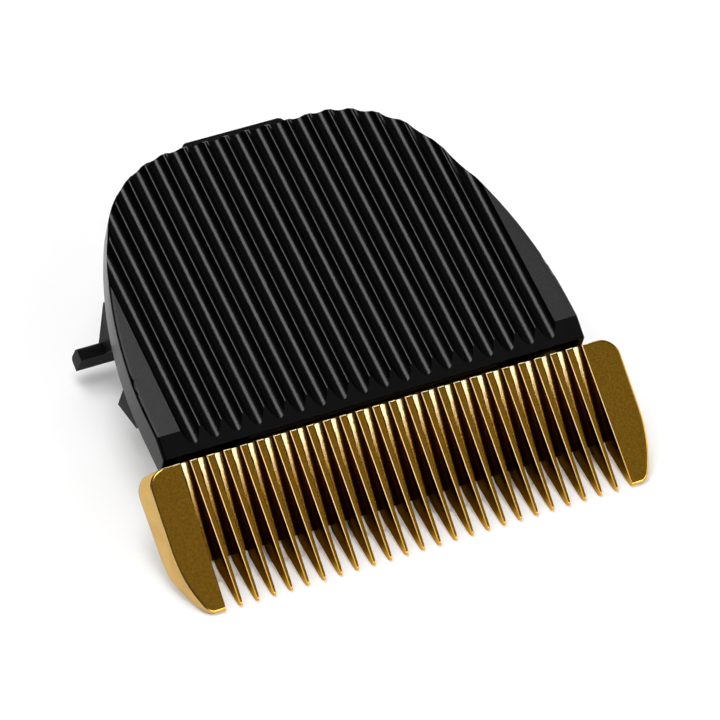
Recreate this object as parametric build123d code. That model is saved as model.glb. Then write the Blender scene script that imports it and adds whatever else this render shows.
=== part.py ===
from build123d import *
import os
from math import acos, asin, atan2, cos, pi, radians, sin, sqrt, tan

# Hair clipper blade set, lying on its comb tips and on the bottom edges of its frame.
# All sizes are in millimetres and degrees.
# The pieces are drawn in the deck frame: x along the tooth row, y to the rear,
# z up and square to the ribbed deck, zero at the deck's front edge on the rib crests.

# Ribbed cover
cover_width = 41.0
deck_length = 27.72
deck_thickness = 2.2
skirt_height = 3.1
skirt_wall = 1.5
side_bow_radius = 45.5
side_bow_start = 1.95
rear_corner_radius = 10.3
edge_round = 0.3
bevel_run = 1.96
lip_round = 0.15
rib_pitch = 2.04
rib_crests = 17
groove_depth = 0.5
crest_radius = 0.3

# Comb blade: the skin face slopes down to the tips, the contact face below it carries the cutter
comb_width = 46.4
comb_reach = 13.3
comb_thickness = 2.6
skin_angle = 21.2
wedge_angle = 2.5
root_setback = 2.99
root_drop = 0.05
nose_radius = 0.3
tip_bevel = 4.0
land_side_draft = 9.0
land_straight = 7.0
land_side_radius = 13.0
land_rear_radius = 1.8
land_front_radius = 1.3
land_edge_round = 0.25
tooth_pitch = 1.586
tooth_count = 24
tooth_root_width = 0.66
tooth_tip_width = 0.26
tooth_edge = 0.05
tooth_draft = 6.0
tip_flare = 0.05
tip_flare_run = 0.6
gullet_root_depth = 0.35
gullet_run = 8.7
gullet_lip = 0.1
gullet_radius = 60.0
gullet_corner = 0.35
tail_width = 24.4
tail_thickness = 1.2
tail_end = 7.0
heel_front = 3.4
heel_length = 1.35
heel_height = 1.8

# Cutter blade, seen along the contact face
cutter_width = 38.4
cutter_thickness = 1.2
cutter_gap = 0.05
cutter_setback = 2.9
cutter_body = 2.6
heel_clearance = 0.3
cutter_teeth = 29
cutter_pitch = 1.3217
cutter_tooth_width = 0.8
cutter_tip_width = 0.4
cutter_tip_length = 0.3
cutter_root_gap = 0.42
cutter_edge = 0.15
cutter_edge_run = 2.9
cutter_stroke = 1.25
cutter_rest = -0.23

# Driver under the cutter
driver_width = 19.2
driver_lip = 0.4
driver_plate = 1.4
driver_rear = 9.6
driver_top = 4.6
driver_bottom = 7.0
driver_neck = 1.5
fork_width = 8.0
fork_start = 6.0
fork_end = 11.5
fork_bottom = 10.0
drive_slot_width = 4.4
drive_slot_top = 5.4
peg_radius = 0.9
peg_spacing = 14.0
peg_height = 0.8
peg_clearance = 0.05
peg_setback = 1.3
wing_start = 5.0
slot_relief = 0.6

# Adjusting slide
slide_travel = 2.0
slide_width = 25.2
slide_thickness = 1.4
slide_gap = 0.2
slide_rear = 16.0
rail_start = 6.5
rail_width = 1.4
rail_height = 1.2
rail_clearance = 0.2
runner_length = 5.5
runner_reach = 1.1
arm_start = 11.4
arm_end = 15.2
fin_outer = 17.8
fin_thickness = 1.6
fin_top = 4.6
fin_front = 12.6
fin_rear = 17.07
fin_foot_front = 15.4
fin_foot_rear = 16.3
fin_room = 0.6
fork_clearance = 0.25
pin_end = 20.15
pin_y = 15.77
pin_depth = 10.9
pin_thickness = 1.3
pin_height = 2.45
pin_lean = 10.4
pin_round = 0.5

# Pressure spring
wire_diameter = 0.9
spring_bend = 1.2
spring_bar_s = 0.3
spring_gap = 0.1
spring_leg_s = 9.5
spring_side_gap = 0.3
spring_hole_clearance = 0.05

# Frame under the cover
frame_inset = 2.4
frame_thickness = 1.6
frame_front = 0.8
window_clearance = 1.75
cheek_gap = 0.4
cheek_thickness = 1.6
cheek_front = 3.2
cheek_rear = 20.5
groove_clearance = 0.2
stop_clearance = 0.3
tongue_width = 10.2
tongue_reach = 2.15
tongue_corner = 0.6
lug_outer = 19.2
lug_thickness = 2.7
lug_front = 4.2
lug_rear = 8.45
lug_tip_rear = 9.0
lug_tip_depth = 8.69
lug_nose_front = 5.26
lug_nose_depth = 7.08
hook_y = 18.6
hook_depth = 11.6
hook_radius = 1.4

# Screws
screw_radius = 1.0
screw_hole_clearance = 0.1
boss_radius = 2.0
boss_front_x = 16.3
boss_front_y = 2.8
boss_rear_x = 9.0
chassis_head_radius = 1.6
chassis_head_height = 1.2
chassis_screw_bite = 2.0
comb_screw_x = 9.5
comb_screw_y = 3.5
comb_head_radius = 1.8
comb_head_height = 0.8
comb_screw_bite = 1.2
recess_size = 1.7
recess_depth = 0.5

# Pose at rest
rest_tilt = 15.0

# Cutting bodies reach this far past the object, or this far past the face that they cut
far = 60.0
edge_room = 0.3

# Places that follow from the sizes
cut_angle = skin_angle - wedge_angle
skin = radians(skin_angle)
cut = radians(cut_angle)
comb_place = Pos(0, -root_setback, -root_drop) * Rot(skin_angle, 0, 0)
cut_y = -root_setback + comb_thickness * sin(skin)
cut_z = -root_drop - comb_thickness * cos(skin)
cut_place = Pos(0, cut_y, cut_z) * Rot(cut_angle, 0, 0)
frame_top = -skirt_height
frame_bottom = frame_top - frame_thickness
tail_bottom = -deck_thickness - tail_thickness
rib_reach = (rib_pitch**2 / 4 + groove_depth**2) / (2 * groove_depth)
groove_radius = rib_reach - crest_radius
wire = wire_diameter / 2
slide_top = driver_bottom + slide_gap
slide_bottom = slide_top + slide_thickness
slide_front = rail_start - rail_clearance
cutter_front = cutter_setback - comb_reach
heel_s = (-heel_front - cut_y) * cos(cut) + (tail_bottom - cut_z) * sin(cut)
cutter_rear = heel_s - slide_travel - heel_clearance
cutter_root = cutter_rear - cutter_body
driver_start = cutter_root + driver_lip
cutter_bottom = cutter_gap + cutter_thickness
neck_bottom = cutter_bottom + driver_plate + driver_neck
peg_y = cutter_rear - peg_setback
spring_x = driver_width / 2 + cutter_stroke + spring_side_gap + wire
fin_inner = fin_outer - fin_thickness
window_half = slide_width / 2 + cheek_gap
window_rear = cut_y + (slide_rear + slide_travel) * cos(cut) + slide_bottom * sin(cut) + window_clearance
boss_rear_y = (window_rear + deck_length - frame_inset) / 2
tip_y = -root_setback + (nose_radius - comb_reach) * cos(skin) + nose_radius * sin(skin)
tip_z = -root_drop + (nose_radius - comb_reach) * sin(skin) - nose_radius * cos(skin)
tip_low = tip_y * sin(radians(rest_tilt)) + tip_z * cos(radians(rest_tilt)) - nose_radius
bosses_right = [(boss_front_x, boss_front_y), (boss_rear_x, boss_rear_y)]
boss_places = [(side * x, y) for x, y in bosses_right for side in (-1, 1)]
comb_screw_places = [(side * comb_screw_x, comb_screw_y) for side in (-1, 1)]


def block(x0, x1, y0, y1, z0, z1):
    """Box between two corners."""
    return Pos((x0 + x1) / 2, (y0 + y1) / 2, (z0 + z1) / 2) * Box(x1 - x0, y1 - y0, z1 - z0)


def pair(x0, x1, y0, y1, z0, z1):
    """The same box on both sides of the middle plane."""
    return block(x0, x1, y0, y1, z0, z1) + block(-x1, -x0, y0, y1, z0, z1)


def bar(points, x0, x1):
    """Prism along x from x0 to x1 whose section is a polygon of (y, z) points."""
    section = Plane.YZ * make_face(Polyline(*points, close=True))
    return Pos(x0, 0, 0) * extrude(section, amount=x1 - x0, dir=(1, 0, 0))


def along_x(edges, x0, x1):
    """Prism along x from x0 to x1 whose section is bounded by edges drawn in (y, z)."""
    section = Plane.YZ * make_face(edges)
    return Pos(x0, 0, 0) * extrude(section, amount=x1 - x0, dir=(1, 0, 0))


def rod(radius, x, y, z0, z1):
    """Upright cylinder between two heights."""
    return Pos(x, y, (z0 + z1) / 2) * Cylinder(radius, z1 - z0)


def cover_plan(inset, front):
    """Plan of the cover drawn in by inset: bowed sides, round rear corners and a straight front edge."""
    bow_x = cover_width / 2 - side_bow_radius
    corner_y = deck_length - rear_corner_radius
    reach = side_bow_radius - rear_corner_radius
    corner_x = bow_x + sqrt(reach**2 - (corner_y - side_bow_start) ** 2)
    lean = atan2(corner_y - side_bow_start, corner_x - bow_x)

    def on_bow(angle):
        radius = side_bow_radius - inset
        return (bow_x + radius * cos(angle), side_bow_start + radius * sin(angle))

    def on_corner(angle):
        radius = rear_corner_radius - inset
        return (corner_x + radius * cos(angle), corner_y + radius * sin(angle))

    half = cover_width / 2 - inset
    side = Line((half, front), (half, side_bow_start))
    bow = ThreePointArc(on_bow(0), on_bow(lean / 2), on_bow(lean))
    corner = ThreePointArc(on_corner(lean), on_corner((lean + pi / 2) / 2), on_corner(pi / 2))
    half_edges = [side, bow, corner]
    other_edges = [mirror(edge, about=Plane.YZ) for edge in half_edges]
    rear = deck_length - inset
    ends = [Line((-corner_x, rear), (corner_x, rear)), Line((-half, front), (half, front))]
    return make_face(half_edges + other_edges + ends)


def make_cover():
    """Ribbed cover: deck, skirt, front bevel, grooves and screw bosses."""
    body = extrude(cover_plan(0, -bevel_run), amount=skirt_height, dir=(0, 0, -1))
    slope = tan(skin)
    body -= bar([(0, 0), (-far, -far * slope), (-far, far), (0, far)], -far, far)
    bevel_low = -bevel_run * slope
    upper = [edge for edge in body.edges() if edge.center().Z > bevel_low + edge_room]
    rim = [edge for edge in upper if edge.center().Y > side_bow_start or abs(edge.center().X) > rib_pitch]
    body = fillet(rim, edge_round)
    low_edges = [edge for edge in body.edges() if abs(edge.center().Z - bevel_low) < lip_round]
    body = fillet([edge for edge in low_edges if edge.length > rib_pitch], lip_round)
    body -= Pos(0, 0, -skirt_height) * extrude(
        cover_plan(skirt_wall, -bevel_run - skirt_wall), amount=skirt_height - deck_thickness, dir=(0, 0, 1)
    )
    for x, y in boss_places:
        body += rod(boss_radius, x, y, frame_top, -deck_thickness)
    for x, y in boss_places:
        body -= rod(screw_radius, x, y, frame_top, frame_top + chassis_screw_bite)
    for x, y in comb_screw_places:
        body -= rod(screw_radius, x, y, -deck_thickness, -deck_thickness + comb_screw_bite)
    return body - make_groove_space()


def make_groove_space():
    """Space above the ribs: round grooves that run smoothly into round crests."""
    foot = groove_radius * rib_pitch / 2 / rib_reach
    foot_height = groove_radius - groove_depth - groove_radius * (rib_reach - groove_depth) / rib_reach
    brim = sqrt(groove_radius**2 - (groove_radius - groove_depth - edge_room) ** 2)
    places = [(index - rib_crests / 2) * rib_pitch for index in range(rib_crests + 1)]
    first = (places[0] - brim, edge_room)
    last = (places[-1] + brim, edge_room)
    edges = []
    start = first
    for x in places:
        end = last if x == places[-1] else (x + foot, foot_height)
        edges.append(ThreePointArc(start, (x, -groove_depth), end))
        if x != places[-1]:
            start = (x + rib_pitch - foot, foot_height)
            edges.append(ThreePointArc(end, (x + rib_pitch / 2, 0), start))
    edges.append(Polyline(last, (last[0], far), (first[0], far), first))
    section = Plane.XZ * make_face(edges)
    return Pos(0, -far, 0) * extrude(section, amount=2 * far, dir=(0, 1, 0))


def make_comb():
    """Comb blade: a tooth pad on the skin slope, with a heel and a flat tail under the cover."""
    pad = make_pad() - make_gaps()
    comb = comb_place * pad
    half = tail_width / 2
    heel_rear = heel_length - heel_front
    comb += block(-half, half, -heel_front, tail_end, tail_bottom, -deck_thickness)
    comb += block(-half, half, -heel_front, heel_rear, tail_bottom, tail_bottom + heel_height)
    for x, y in comb_screw_places:
        comb -= countersunk(x, y)
    return comb


def make_pad():
    """Tooth pad before the gaps are cut: drafted plan, rounded top edge, thin nose along the tips."""
    half = comb_width / 2 - comb_thickness * tan(radians(land_side_draft))
    sweep_end = asin((comb_reach - land_straight) / land_side_radius)

    def on_side(angle):
        return (half - land_side_radius * (1 - cos(angle)), -land_straight - land_side_radius * sin(angle))

    side = Line((half, 0), on_side(0))
    bow = ThreePointArc(on_side(0), on_side(sweep_end / 2), on_side(sweep_end))
    tip_half = on_side(sweep_end)[0]
    ends = [Line((-half, 0), (half, 0)), Line((-tip_half, -comb_reach), (tip_half, -comb_reach))]
    plan = make_face([side, bow, mirror(side, about=Plane.YZ), mirror(bow, about=Plane.YZ)] + ends)
    plan = fillet(plan.vertices().group_by(Axis.Y)[0], land_front_radius)
    plan = fillet([v for v in plan.vertices() if v.Y > -land_rear_radius / 2], land_rear_radius)
    pad = extrude(plan, amount=comb_thickness, dir=(0, 0, -1), taper=-land_side_draft)
    pad = fillet(pad.edges().group_by(Axis.Z)[-1], land_edge_round)
    nose_y = nose_radius - comb_reach
    bevel_start = (tip_bevel - comb_reach, contact_height(tip_bevel - comb_reach))
    run = bevel_start[0] - nose_y
    drop = bevel_start[1] + nose_radius
    touch = atan2(drop, run) - acos(nose_radius / sqrt(run**2 + drop**2))
    nose_end = (nose_y + nose_radius * cos(touch), -nose_radius + nose_radius * sin(touch))
    outline = [
        Line((0, far), (0, contact_height(0))),
        Line((0, contact_height(0)), bevel_start),
        Line(bevel_start, nose_end),
        ThreePointArc(nose_end, (-comb_reach, -nose_radius), (nose_y, 0)),
        Line((nose_y, 0), (nose_y, far)),
        Line((nose_y, far), (0, far)),
    ]
    return pad & along_x(outline, -far, far)


def contact_height(y):
    """Height of the contact face below the skin face at a place along the teeth."""
    return -comb_thickness - y * tan(radians(wedge_angle))


def make_gaps():
    """Gaps between the teeth: drafted walls, flared at the tips, with a wheel-cut rounded ramp at the root."""
    top = edge_room
    bottom = -comb_thickness - edge_room

    def section(height, extra=0):
        spread = height * tan(radians(tooth_draft)) + extra
        root = (tooth_pitch - tooth_root_width) / 2 + spread
        tip = (tooth_pitch - tooth_tip_width) / 2 + spread
        flare = tip + tip_flare
        right = [
            (root, edge_room),
            (tip, tip_flare_run - comb_reach),
            (flare, -comb_reach),
            (flare, -comb_reach - edge_room),
        ]
        left = [(-x, y) for x, y in reversed(right)]
        return Pos(0, 0, height) * make_face(Polyline(*right, *left, close=True))

    wedge = loft([section(bottom), section(top)], ruled=True)
    wedge += loft([section(-tooth_edge), section(top, tooth_edge + top)], ruled=True)
    gullet_end_depth = -contact_height(-gullet_run) - gullet_lip
    ramp_start = 2 * edge_room
    ramp_end = -gullet_run - edge_room
    root_point = (ramp_start, -gullet_root_depth)
    end_point = (ramp_end, -gullet_end_depth)
    chord = sqrt((ramp_start - ramp_end) ** 2 + (gullet_end_depth - gullet_root_depth) ** 2)
    sag = chord**2 / (8 * gullet_radius)
    middle = ((ramp_start + ramp_end) / 2, -(gullet_root_depth + gullet_end_depth) / 2 - sag)
    above_ramp = [
        ThreePointArc(root_point, middle, end_point),
        Line(end_point, (ramp_end, far)),
        Line((ramp_end, far), (ramp_start, far)),
        Line((ramp_start, far), root_point),
    ]
    gullet = wedge & along_x(above_ramp, -tooth_pitch, tooth_pitch)
    floor = gullet.faces().sort_by(Axis.Z)[0]
    gullet = fillet(floor.edges().group_by(SortBy.LENGTH)[-1], gullet_corner)
    gap = gullet + (wedge & block(-tooth_pitch, tooth_pitch, -far, -gullet_run, -far, far))
    return [Pos((index - tooth_count / 2) * tooth_pitch, 0, 0) * gap for index in range(tooth_count + 1)]


def countersunk(x, y):
    """Countersunk screw body, head down, from the tail's underside into the deck."""
    top = -deck_thickness + comb_screw_bite
    head = Cone(comb_head_radius, screw_radius, comb_head_height)
    head_place = Pos(x, y, tail_bottom + comb_head_height / 2)
    return head_place * head + rod(screw_radius, x, y, tail_bottom, top)


def recess(x, y, z):
    """Cross recess in a screw head whose face is at height z."""
    half = recess_size / 2
    slot = block(-half, half, -half / 2, half / 2, -edge_room, recess_depth)
    return Pos(x, y, z) * (slot + Rot(0, 0, 90) * slot)


def make_comb_screws():
    """Two countersunk screws through the comb's tail."""
    return Compound([countersunk(x, y) - recess(x, y, tail_bottom) for x, y in comb_screw_places])


def make_chassis_screws():
    """Four screws that hold the frame to the cover's bosses."""
    head_bottom = frame_bottom - chassis_head_height

    def screw(x, y):
        head = rod(chassis_head_radius, x, y, head_bottom, frame_bottom)
        shank = rod(screw_radius, x, y, frame_bottom, frame_top + chassis_screw_bite)
        return head + shank - recess(x, y, head_bottom)

    return Compound([screw(x, y) for x, y in boss_places])


def make_cutter():
    """Ceramic cutter blade with finer teeth than the comb, at rest a little to the left."""
    half = cutter_width / 2
    root_half = (cutter_pitch - cutter_root_gap) / 2
    tooth_half = cutter_tooth_width / 2
    tip_half = cutter_tip_width / 2
    shoulder = cutter_front + cutter_tip_length
    points = [(-half, cutter_rear), (-half, cutter_root)]
    for index in range(cutter_teeth):
        x = (index - (cutter_teeth - 1) / 2) * cutter_pitch
        right = [(tip_half, cutter_front), (tooth_half, shoulder), (root_half, cutter_root)]
        points += [(x - across, y) for across, y in reversed(right)]
        points += [(x + across, y) for across, y in right]
    points += [(half, cutter_root), (half, cutter_rear)]
    plan = Pos(0, 0, -cutter_gap) * make_face(Polyline(*points, close=True))
    body = extrude(plan, amount=cutter_thickness, dir=(0, 0, -1))
    slope = (cutter_thickness - cutter_edge) / cutter_edge_run
    low = -cutter_gap - cutter_edge
    body -= bar(
        [
            (cutter_front - far, low + slope * far),
            (cutter_front + far, low - slope * far),
            (cutter_front - far, low - slope * far),
        ],
        -far,
        far,
    )
    for side in (-1, 1):
        body -= rod(peg_radius + peg_clearance, side * peg_spacing / 2, peg_y, -far, far)
    return Pos(cutter_rest, 0, 0) * cut_place * body


def make_driver():
    """Driver under the cutter: pegs, neck, grooved wings and the fork with the drive slot."""
    neck_top = cutter_bottom + driver_plate
    half = driver_width / 2
    body = bar(
        [
            (driver_start, -cutter_bottom),
            (cutter_rear, -cutter_bottom),
            (cutter_rear, -neck_top),
            (fork_start, -driver_top),
            (driver_rear, -driver_top),
            (driver_rear, -driver_bottom),
            (wing_start, -driver_bottom),
            (cutter_rear, -neck_bottom),
            (driver_start, -neck_top),
        ],
        -half,
        half,
    )
    fork_half = fork_width / 2
    body -= pair(
        fork_half,
        far,
        rail_start - rail_clearance,
        rail_start + rail_width + rail_clearance,
        -far,
        -slide_top + rail_height + rail_clearance,
    )
    body += block(-fork_half, fork_half, fork_start, fork_end, -fork_bottom, -driver_top)
    slot_half = drive_slot_width / 2
    body -= block(-slot_half, slot_half, fork_start - slot_relief, far, -far, -drive_slot_top)
    for side in (-1, 1):
        body += rod(peg_radius, side * peg_spacing / 2, peg_y, -cutter_bottom, peg_height - cutter_bottom)
    return Pos(cutter_rest, 0, 0) * cut_place * body


def make_slide():
    """Adjusting slide: plate with rails and runners, and the arm, fin and bar pin on the left."""
    half = slide_width / 2
    plate = block(-half, half, slide_front, slide_rear, -slide_bottom, -slide_top)
    opening = fork_width / 2 + cutter_stroke + fork_clearance
    plate -= block(-opening, opening, -far, fork_end + fork_clearance, -far, far)
    rail_in = opening + fork_clearance
    rail_out = driver_width / 2 + fork_clearance
    rail_end = rail_start + rail_width
    plate += pair(rail_in, rail_out, rail_start, rail_end, -slide_top, -slide_top + rail_height)
    runner_end = rail_start + runner_length
    plate += pair(half, half + runner_reach, rail_start, runner_end, -slide_bottom, -slide_top)
    plate += block(-fin_inner - edge_room, -half, arm_start, arm_end, -slide_bottom, -slide_top)
    for side in (-1, 1):
        plate -= rod(wire + spring_hole_clearance, side * spring_x, spring_leg_s, -far, far)
    fin = bar(
        [
            (fin_front, -fin_top),
            (fin_rear, -fin_top),
            (fin_foot_rear, -pin_depth),
            (fin_foot_front, -pin_depth),
        ],
        -fin_outer,
        -fin_inner,
    )
    pin_half = pin_thickness / 2
    pin = block(-pin_end, -fin_inner, -pin_half, pin_half, -pin_height / 2, pin_height / 2)
    pin = fillet(pin.edges().filter_by(Axis.X).group_by(Axis.Y)[-1], pin_round)
    pin = Pos(0, pin_y, -pin_depth) * Rot(pin_lean, 0, 0) * pin
    return cut_place * plate + fin + pin


def make_spring():
    """Bow of spring wire: legs in the slide, cross bar under the driver's neck."""
    slope = (driver_bottom - neck_bottom) / (wing_start - cutter_rear)
    underside = neck_bottom + slope * (spring_bar_s - cutter_rear)
    bar_height = -underside - (wire + spring_gap) * sqrt(1 + slope**2)
    arm_height = spring_bend - slide_top
    right = [
        (spring_x, spring_leg_s, -slide_bottom),
        (spring_x, spring_leg_s, arm_height),
        (spring_x, spring_bar_s, bar_height),
    ]
    left = [(-x, y, z) for x, y, z in reversed(right)]
    path = FilletPolyline(*right, *left, radius=spring_bend)
    start = Plane(origin=path @ 0, z_dir=path % 0)
    return cut_place * sweep(start * Circle(wire), path=path)


def make_chassis():
    """Frame under the cover: ring plate, rear tongue, guide cheeks, front lugs and hinge hooks."""
    plate = extrude(cover_plan(frame_inset, frame_front), amount=frame_thickness, dir=(0, 0, -1))
    body = Pos(0, 0, frame_top) * plate
    body -= block(-window_half, window_half, -far, window_rear, -far, far)
    half = tongue_width / 2
    tongue = block(-half, half, window_rear, deck_length + tongue_reach, frame_bottom, frame_top)
    body += fillet(tongue.edges().filter_by(Axis.Z).group_by(Axis.Y)[-1], tongue_corner)
    body += pair(window_half, window_half + cheek_thickness, cheek_front, cheek_rear, -far, frame_top)
    lug = [
        (lug_front, frame_top),
        (lug_rear, frame_top),
        (lug_tip_rear, -lug_tip_depth),
        (lug_nose_front, -lug_nose_depth),
    ]
    body += bar(lug, lug_outer - lug_thickness, lug_outer)
    body += bar(lug, -lug_outer, lug_thickness - lug_outer)
    notch = Pos(0, hook_y, -hook_depth) * Rot(0, 90, 0) * Cylinder(hook_radius, 2 * far)
    notch += block(-far, far, hook_y, far, -hook_depth - hook_radius, hook_radius - hook_depth)
    body -= notch
    body -= cut_place * make_slide_room()
    swing = slide_travel * cos(cut)
    body -= block(
        -far,
        -fin_inner + fin_room,
        fin_front - fin_room,
        fin_rear + swing + fin_room,
        frame_bottom - edge_room,
        frame_top + edge_room,
    )
    for x, y in boss_places:
        body -= rod(screw_radius + screw_hole_clearance, x, y, -far, far)
    floor = Rot(-rest_tilt, 0, 0) * block(-far, far, -far, far, tip_low - far, tip_low)
    return body - floor


def make_slide_room():
    """Runner grooves and the arm's window in the cheeks, long enough for the slide's travel."""
    low = -slide_bottom - groove_clearance
    high = -slide_top + groove_clearance
    inner = window_half - edge_room
    groove_end = slide_width / 2 + runner_reach + groove_clearance
    groove_rear = rail_start + runner_length + slide_travel + stop_clearance
    room = pair(inner, groove_end, rail_start - stop_clearance, groove_rear, low, high)
    arm_rear = arm_end + slide_travel + stop_clearance
    room += block(-far, -inner, arm_start - stop_clearance, arm_rear, low, high)
    return room


parts = {
    "ribbed_cover": make_cover(),
    "comb_blade": make_comb(),
    "comb_screws": make_comb_screws(),
    "cutter_blade": make_cutter(),
    "cutter_driver": make_driver(),
    "adjust_slide": make_slide(),
    "pressure_spring": make_spring(),
    "chassis_frame": make_chassis(),
    "chassis_screws": make_chassis_screws(),
}

# At rest the set is tilted onto its comb tips, with the origin below the middle of its box
tilted = {name: Rot(rest_tilt, 0, 0) * shape for name, shape in parts.items()}
boxes = [shape.bounding_box() for shape in tilted.values()]
middle_y = (min(box.min.Y for box in boxes) + max(box.max.Y for box in boxes)) / 2
os.makedirs("parts", exist_ok=True)
for name, shape in tilted.items():
    export_step(Pos(0, -middle_y, -tip_low) * shape, f"parts/{name}.step")
slide_lean = cut + radians(rest_tilt)
print("slide direction", 0, round(cos(slide_lean), 6), round(sin(slide_lean), 6))
print("shift", round(-middle_y, 4), round(-tip_low, 4))
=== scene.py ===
from math import cos, pi, radians, sin
from typing import NamedTuple

import bpy
from mathutils import Matrix, Vector

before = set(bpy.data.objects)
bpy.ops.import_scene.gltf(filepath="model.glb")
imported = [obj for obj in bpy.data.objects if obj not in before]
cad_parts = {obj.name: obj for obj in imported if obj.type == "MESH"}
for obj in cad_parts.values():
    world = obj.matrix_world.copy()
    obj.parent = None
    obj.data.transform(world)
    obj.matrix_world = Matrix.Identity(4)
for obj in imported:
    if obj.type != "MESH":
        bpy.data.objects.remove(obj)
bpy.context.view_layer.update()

# A clipper blade set lies on a white floor, with soft light panels around it.
# Camera, panels and floor are placed in metres; sizes and places in the finishes are in millimetres.

MM = 0.001

# Camera: the point it looks at, its distance from there, its angles in degrees and its lens
CAMERA_TARGET = (0.00056, -0.00517, 0.008)
CAMERA_DISTANCE = 0.46812
CAMERA_AZIMUTH = -28.05
CAMERA_ELEVATION = 42.9
CAMERA_ROLL = 3.72
CAMERA_LENS = 265.5

# Deck of the cover: a point on its front edge, its lean from level, and the half width of the grooves
DECK_POINT = (0, -8.29, 9.042)
DECK_LEAN = 15.0
GROOVE_FIELD_HALF = 18.22

# Plastic of the cover: upward part of the normal from which a face counts as level, the specular level
# of steep and of level faces, and how much rougher the side lands are than the grooves
LEVEL_NORMAL = 0.8
STEEP_GLOSS = 0.08
LEVEL_GLOSS = 0.50
LAND_ROUGHNESS = 0.22

# Comb: a point on the skin face, the face's lean from level, and the half width of the tooth field
SKIN_POINT = (0, -11.165, 8.22)
SKIN_LEAN = 36.2
TOOTH_FIELD_HALF = 20.2

# Gold of the comb: where each look has not begun and where it is full. Depths are below the skin face,
# lengths run forward from the skin point, and the walls go by the sideways part of the normal.
SKIN_DEPTH = (0.03, 0.01)
GAP_DEPTH = (0.05, 0.15)
# Along the gaps, the pale gold of the painted highlight gives way to the coat's deep gold between these
# lengths.
DEEP_GOLD_LENGTH = (0.5, 4.5)
# Where the edges turn a darker brown towards the tips.
TIP_BROWN_LENGTH = (7.0, 13.0)
# Painted shade on the gap walls: none at the first length, full at the second, towards the roots.
GAP_SHADE_LENGTH = (14.0, 11.5)
WALL_NORMAL = (0.3, 0.75)

# Range that most values of a noise lie in
NOISE_LOW = 0.3
NOISE_HIGH = 0.7

# Floor and surroundings
FLOOR_SIZE = 3.0
FLOOR_DROP = 0.00001
FLOOR_COLOUR = (0.82, 0.82, 0.82)
FLOOR_GLOW = 0.22
WORLD_COLOUR = (1, 1, 1)
WORLD_LEVEL = 0.05

# Axes that the width of a panel can run along
ACROSS = (1, 0, 0)
LENGTHWISE = (0, 1, 0)


class Panel(NamedTuple):
    """A soft light: its direction and distance from the object, its size, and if it shows in reflections."""

    direction: tuple
    distance: float
    width_axis: tuple
    width: float
    height: float
    radiance: float
    mirrored: bool = True


# The front strip fades upward in three steps; the fill lights the floor and the matt faces.
PANELS = {
    "back_panel": Panel((-0.06, 0.22, 0.974), 0.5, ACROSS, 0.20, 0.36, 3.6),
    "skin_panel": Panel((0.344, -0.453, 0.822), 0.5, ACROSS, 0.34, 0.20, 0.10),
    "front_panel": Panel((0.36, -0.847, 0.391), 0.6, ACROSS, 0.80, 0.09, 5.0),
    "front_fade": Panel((0.36, -0.797, 0.485), 0.6, ACROSS, 0.80, 0.04, 2.2),
    "front_end": Panel((0.36, -0.762, 0.538), 0.6, ACROSS, 0.80, 0.03, 0.8),
    "left_panel": Panel((-0.917, -0.11, 0.346), 0.5, LENGTHWISE, 0.30, 0.20, 1.5),
    "rear_panel": Panel((0.344, 0.80, 0.49), 0.5, ACROSS, 0.30, 0.10, 4.0),
    "right_panel": Panel((0.93, -0.25, 0.26), 0.6, LENGTHWISE, 0.34, 0.42, 1.3),
    "low_panel": Panel((0.2, -0.97, 0.14), 0.6, ACROSS, 0.6, 0.12, 3.0),
    "fill_panel": Panel((-0.3, 0.2, 0.93), 1.2, ACROSS, 1.2, 1.2, 2.0, mirrored=False),
}


def add_node(tree, kind, **settings):
    """Adds a shader node with its settings."""
    node = tree.nodes.new("ShaderNode" + kind)
    for name, value in settings.items():
        setattr(node, name, value)
    return node


def feed(socket, value):
    """Gives a socket a number, a colour or the output of another node."""
    if isinstance(value, (int, float)):
        socket.default_value = value
    elif isinstance(value, tuple):
        socket.default_value = (*value, 1)
    else:
        socket.id_data.links.new(value, socket)


def calculate(tree, operation, first, second=0):
    """One arithmetic step on outputs or numbers."""
    node = add_node(tree, "Math", operation=operation)
    feed(node.inputs[0], first)
    feed(node.inputs[1], second)
    return node.outputs[0]


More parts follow.
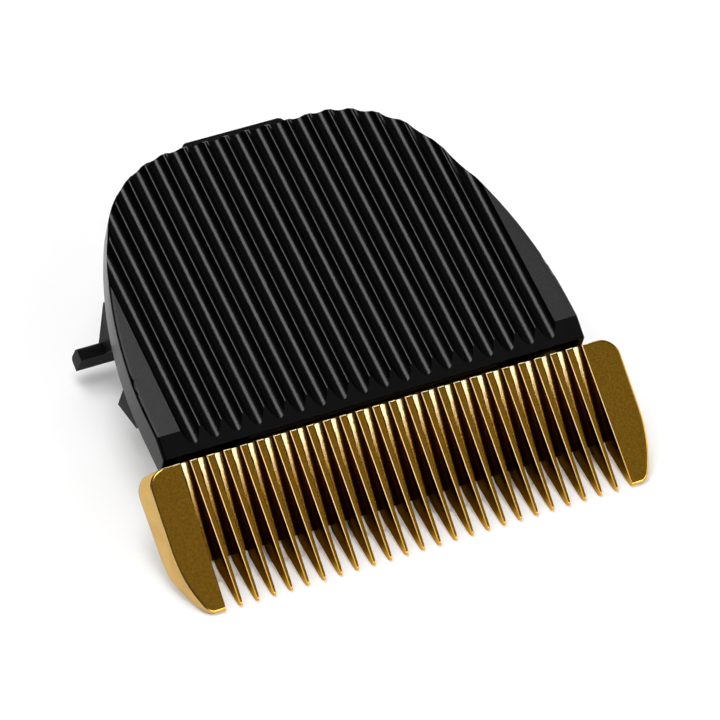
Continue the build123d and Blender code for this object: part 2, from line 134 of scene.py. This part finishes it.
class Finish:
    """A procedural material on the object's own coordinates, in millimetres."""

    def __init__(self, name):
        self.material = bpy.data.materials.new(name)
        self.material.use_nodes = True
        self.tree = self.material.node_tree
        self.shader = self.tree.nodes["Principled BSDF"]
        source = add_node(self.tree, "TexCoord")
        scale = add_node(self.tree, "VectorMath", operation="SCALE")
        feed(scale.inputs[0], source.outputs["Object"])
        feed(scale.inputs["Scale"], 1 / MM)
        self.place = scale.outputs[0]
        self.normal = source.outputs["Normal"]

    def set(self, **values):
        """Sets sockets of the shader, named with _ for a space."""
        for name, value in values.items():
            feed(self.shader.inputs[name.replace("_", " ")], value)

    def bump(self, height, depth):
        """Relief of that depth in millimetres."""
        bump = add_node(self.tree, "Bump")
        feed(bump.inputs["Strength"], 1.0)
        feed(bump.inputs["Distance"], depth * MM)
        feed(bump.inputs["Height"], height)
        self.set(Normal=bump.outputs["Normal"])

    def noise(self, size, detail=2, stretch=(1, 1, 1)):
        """Noise whose features are about that many millimetres wide, longer along stretched axes."""
        mapping = add_node(self.tree, "Mapping")
        mapping.inputs["Scale"].default_value = [1 / (size * factor) for factor in stretch]
        feed(mapping.inputs["Vector"], self.place)
        noise = add_node(self.tree, "TexNoise")
        feed(noise.inputs["Scale"], 1.0)
        feed(noise.inputs["Detail"], detail)
        feed(noise.inputs["Vector"], mapping.outputs["Vector"])
        return noise.outputs["Fac"]

    def remap(self, value, start, end, low=0, high=1, interpolation="LINEAR"):
        """Maps a value from one range to another and holds it at the ends."""
        node = add_node(self.tree, "MapRange", interpolation_type=interpolation)
        feed(node.inputs["Value"], value)
        feed(node.inputs["From Min"], start)
        feed(node.inputs["From Max"], end)
        feed(node.inputs["To Min"], low)
        feed(node.inputs["To Max"], high)
        return node.outputs["Result"]

    def spread(self, noise, low, high):
        """Number from low to high by a noise value."""
        return self.remap(noise, NOISE_LOW, NOISE_HIGH, low, high)

    def share(self, value, none, full):
        """Share that goes smoothly from 0 to 1 as a value goes from none to full."""
        return self.remap(value, none, full, interpolation="SMOOTHSTEP")

    def all_of(self, *shares):
        """Product of shares: 1 only where each of them is 1."""
        product = shares[0]
        for share in shares[1:]:
            product = self.math("MULTIPLY", product, share)
        return product

    def mix(self, share, first, second):
        """Mixes two colours by a share; each is a colour or the output of another node."""
        node = add_node(self.tree, "Mix", data_type="RGBA")
        feed(node.inputs["Factor"], share)
        feed(node.inputs["A"], first)
        feed(node.inputs["B"], second)
        return node.outputs["Result"]

    def tint(self, noise, dark, light):
        """Mixes two colours by a noise value."""
        return self.mix(self.spread(noise, 0, 1), dark, light)

    def math(self, operation, first, second=0):
        """One arithmetic step on outputs or numbers."""
        return calculate(self.tree, operation, first, second)

    def part(self, vector, letter):
        """One part of a vector."""
        split = add_node(self.tree, "SeparateXYZ")
        feed(split.inputs[0], vector)
        return split.outputs[letter]

    def reach(self, point, direction):
        """Distance from a point along a direction, in millimetres."""
        away = add_node(self.tree, "VectorMath", operation="SUBTRACT")
        feed(away.inputs[0], self.place)
        away.inputs[1].default_value = point
        dot = add_node(self.tree, "VectorMath", operation="DOT_PRODUCT")
        feed(dot.inputs[0], away.outputs[0])
        dot.inputs[1].default_value = direction
        return dot.outputs["Value"]


def cover_plastic():
    """Moulded black plastic: smooth in the grooves, finely grained on the deck's side lands."""
    finish = Finish("cover_plastic")
    grain = finish.noise(size=0.16, detail=3)
    flow = finish.noise(size=2.6, stretch=(0.5, 6, 1))

    backward = (0, cos(radians(DECK_LEAN)), sin(radians(DECK_LEAN)))
    side = finish.math("ABSOLUTE", finish.part(finish.place, "X"))
    outside = finish.math("GREATER_THAN", side, GROOVE_FIELD_HALF)
    level = finish.math("GREATER_THAN", finish.part(finish.normal, "Z"), LEVEL_NORMAL)
    deck = finish.math("GREATER_THAN", finish.reach(DECK_POINT, backward), 0)
    land = finish.all_of(outside, level, deck)

    black = finish.tint(flow, (0.0004, 0.0004, 0.0004), (0.0008, 0.0008, 0.0008))
    matt = finish.tint(grain, (0.012, 0.012, 0.0122), (0.026, 0.026, 0.0265))
    smooth = finish.spread(flow, 0.17, 0.23)
    finish.set(
        Base_Color=finish.mix(land, black, matt),
        Roughness=finish.math("ADD", smooth, finish.math("MULTIPLY", land, LAND_ROUGHNESS)),
        Specular_IOR_Level=finish.remap(level, 0, 1, STEEP_GLOSS, LEVEL_GLOSS),
        IOR=1.48,
    )
    finish.bump(grain, depth=0.010)
    return finish.material


def frame_plastic():
    """Black moulded plastic of the frame, slide and driver."""
    finish = Finish("frame_plastic")
    grain = finish.noise(size=0.22, detail=3)
    flow = finish.noise(size=3.0)
    finish.set(
        Base_Color=finish.tint(flow, (0.003, 0.003, 0.0031), (0.006, 0.006, 0.0061)),
        Roughness=finish.spread(flow, 0.46, 0.58),
        Specular_IOR_Level=0.08,
        IOR=1.45,
    )
    finish.bump(grain, depth=0.015)
    return finish.material


def gold_coat():
    """Gold-coloured hard coating on finely blasted steel, with painted shade in dark brown on the walls of
    the gaps, painted highlight in pale gold near their roots and on the edges, and a darker brown on the
    edges towards the tips.
    """
    finish = Finish("gold_coat")
    grain = finish.noise(size=0.12)
    speck = finish.noise(size=0.2, detail=3)
    patch = finish.noise(size=1.8, detail=3)

    down = (0, sin(radians(SKIN_LEAN)), -cos(radians(SKIN_LEAN)))
    forward = (0, -cos(radians(SKIN_LEAN)), -sin(radians(SKIN_LEAN)))
    depth = finish.reach(SKIN_POINT, down)
    length = finish.reach(SKIN_POINT, forward)
    side = finish.math("ABSOLUTE", finish.part(finish.place, "X"))
    sideways = finish.math("ABSOLUTE", finish.part(finish.normal, "X"))
    teeth = finish.math("LESS_THAN", side, TOOTH_FIELD_HALF)
    skin = finish.share(depth, *SKIN_DEPTH)
    gap = finish.share(depth, *GAP_DEPTH)
    deep = finish.all_of(gap, finish.share(length, *DEEP_GOLD_LENGTH))
    toward_tips = finish.share(length, *TIP_BROWN_LENGTH)
    wall = finish.share(sideways, *WALL_NORMAL)
    # Painted shade: dark brown on the walls of the gaps, from the roots forward until it fades near the
    # tips.
    gap_shade = finish.all_of(wall, gap, finish.share(length, *GAP_SHADE_LENGTH), teeth)

    skin_gold = finish.tint(speck, (0.76, 0.385, 0.035), (1.0, 0.53, 0.058))
    # Painted highlight: the coat's gold paled to cream near the gap roots and on the edges; the deep gold
    # below is the coat's own colour.
    highlight_pale_gold = finish.tint(patch, (0.90, 0.67, 0.34), (0.97, 0.75, 0.41))
    deep_gold = finish.tint(patch, (0.80, 0.42, 0.07), (0.92, 0.50, 0.10))
    edge_gold = finish.tint(patch, (0.56, 0.37, 0.14), (0.68, 0.46, 0.19))
    # Darker brown on the edges towards the tips.
    tip_brown_gold = (0.50, 0.33, 0.11)
    # Colour of the painted shade on the gap walls.
    gap_shade_brown = (0.09, 0.05, 0.014)
    gold_glint = (1.0, 0.8, 0.5)
    # Reflection tint of the painted shade on the gap walls.
    gap_shade_tint = (0.7, 0.48, 0.2)
    tooth_gold = finish.mix(deep, finish.mix(toward_tips, highlight_pale_gold, tip_brown_gold), deep_gold)
    side_gold = finish.mix(teeth, edge_gold, tooth_gold)
    finish.set(
        Base_Color=finish.mix(gap_shade, finish.mix(skin, side_gold, skin_gold), gap_shade_brown),
        Specular_Tint=finish.mix(gap_shade, gold_glint, gap_shade_tint),
        Roughness=finish.spread(grain, 0.17, 0.25),
        Metallic=1.0,
    )
    finish.bump(grain, depth=0.004)
    return finish.material


def white_ceramic():
    """Ground white ceramic with faint grinding lines along the stroke."""
    finish = Finish("white_ceramic")
    lines = finish.noise(size=0.06, stretch=(40, 1, 1))
    cloud = finish.noise(size=2.0)
    finish.set(
        Base_Color=finish.tint(cloud, (0.83, 0.82, 0.79), (0.90, 0.89, 0.87)),
        Roughness=finish.spread(lines, 0.28, 0.40),
    )
    finish.bump(lines, depth=0.002)
    return finish.material


def drawn_steel(name, dark, light):
    """Bare or plated steel with drawing marks."""
    finish = Finish(name)
    marks = finish.noise(size=0.08, detail=3, stretch=(6, 1, 1))
    finish.set(
        Base_Color=finish.tint(marks, dark, light),
        Roughness=finish.spread(marks, 0.22, 0.36),
        Metallic=1.0,
    )
    finish.bump(marks, depth=0.003)
    return finish.material


def dress(material, *nodes):
    """Gives a finish to carried-over nodes."""
    for name in nodes:
        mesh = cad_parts[name].data
        mesh.materials.clear()
        mesh.materials.append(material)


def floor_white():
    """Pale matt white that glows a little for the camera and in reflections."""
    material = bpy.data.materials.new("floor_white")
    material.use_nodes = True
    tree = material.node_tree
    tree.nodes.clear()
    path = add_node(tree, "LightPath")
    seen = path.outputs["Is Camera Ray"]
    for kind in ("Is Glossy Ray", "Is Transmission Ray"):
        seen = calculate(tree, "MAXIMUM", seen, path.outputs[kind])
    emission = add_node(tree, "Emission")
    feed(emission.inputs["Strength"], calculate(tree, "MULTIPLY", seen, FLOOR_GLOW))
    diffuse = add_node(tree, "BsdfDiffuse")
    feed(diffuse.inputs["Color"], FLOOR_COLOUR)
    both = add_node(tree, "AddShader")
    feed(both.inputs[0], diffuse.outputs[0])
    feed(both.inputs[1], emission.outputs[0])
    output = add_node(tree, "OutputMaterial")
    feed(output.inputs["Surface"], both.outputs[0])
    return material


def add_floor():
    """Floor just under the object, which keeps its shadow."""
    bpy.ops.mesh.primitive_plane_add(size=FLOOR_SIZE, location=(0, 0, -FLOOR_DROP))
    floor = bpy.context.object
    floor.name = "floor"
    floor.data.materials.append(floor_white())


def add_panel(name, panel):
    """Rectangular soft light that faces the object, its width along an axis."""
    data = bpy.data.lights.new(name, "AREA")
    data.shape = "RECTANGLE"
    data.size = panel.width
    data.size_y = panel.height
    data.energy = panel.radiance * pi * panel.width * panel.height
    light = bpy.data.objects.new(name, data)
    bpy.context.scene.collection.objects.link(light)
    away = Vector(panel.direction).normalized()
    axis = Vector(panel.width_axis)
    across = (axis - axis.dot(away) * away).normalized()
    turn = Matrix((across, away.cross(across), away)).transposed().to_4x4()
    light.matrix_world = Matrix.Translation(away * panel.distance) @ turn
    light.visible_camera = False
    light.visible_glossy = panel.mirrored


def add_world():
    """Dim surroundings of a studio."""
    world = bpy.data.worlds.new("studio")
    bpy.context.scene.world = world
    world.use_nodes = True
    background = world.node_tree.nodes["Background"]
    feed(background.inputs["Color"], WORLD_COLOUR)
    feed(background.inputs["Strength"], WORLD_LEVEL)


def add_camera():
    """Camera at the photograph's viewing angle, rolled a little about its own axis."""
    azimuth = radians(CAMERA_AZIMUTH)
    elevation = radians(CAMERA_ELEVATION)
    back = Vector((
        sin(azimuth) * cos(elevation),
        -cos(azimuth) * cos(elevation),
        sin(elevation),
    ))
    data = bpy.data.cameras.new("camera")
    data.lens = CAMERA_LENS
    camera = bpy.data.objects.new("camera", data)
    bpy.context.scene.collection.objects.link(camera)
    turn = back.to_track_quat("Z", "Y").to_matrix().to_4x4()
    roll = Matrix.Rotation(radians(CAMERA_ROLL), 4, "Z")
    place = Matrix.Translation(Vector(CAMERA_TARGET) + back * CAMERA_DISTANCE)
    camera.matrix_world = place @ turn @ roll
    bpy.context.scene.camera = camera


dress(cover_plastic(), "ribbed_cover")
dress(frame_plastic(), "chassis_frame", "adjust_slide", "cutter_driver")
dress(gold_coat(), "comb_blade")
dress(white_ceramic(), "cutter_blade")
dress(drawn_steel("spring_steel", (0.46, 0.46, 0.47), (0.62, 0.62, 0.63)), "pressure_spring")
dress(drawn_steel("screw_steel", (0.30, 0.30, 0.31), (0.42, 0.42, 0.43)), "comb_screws", "chassis_screws")

add_floor()
for panel_name, panel_values in PANELS.items():
    add_panel(panel_name, panel_values)
add_world()
add_camera()
bpy.context.scene.view_settings.view_transform = "Standard"
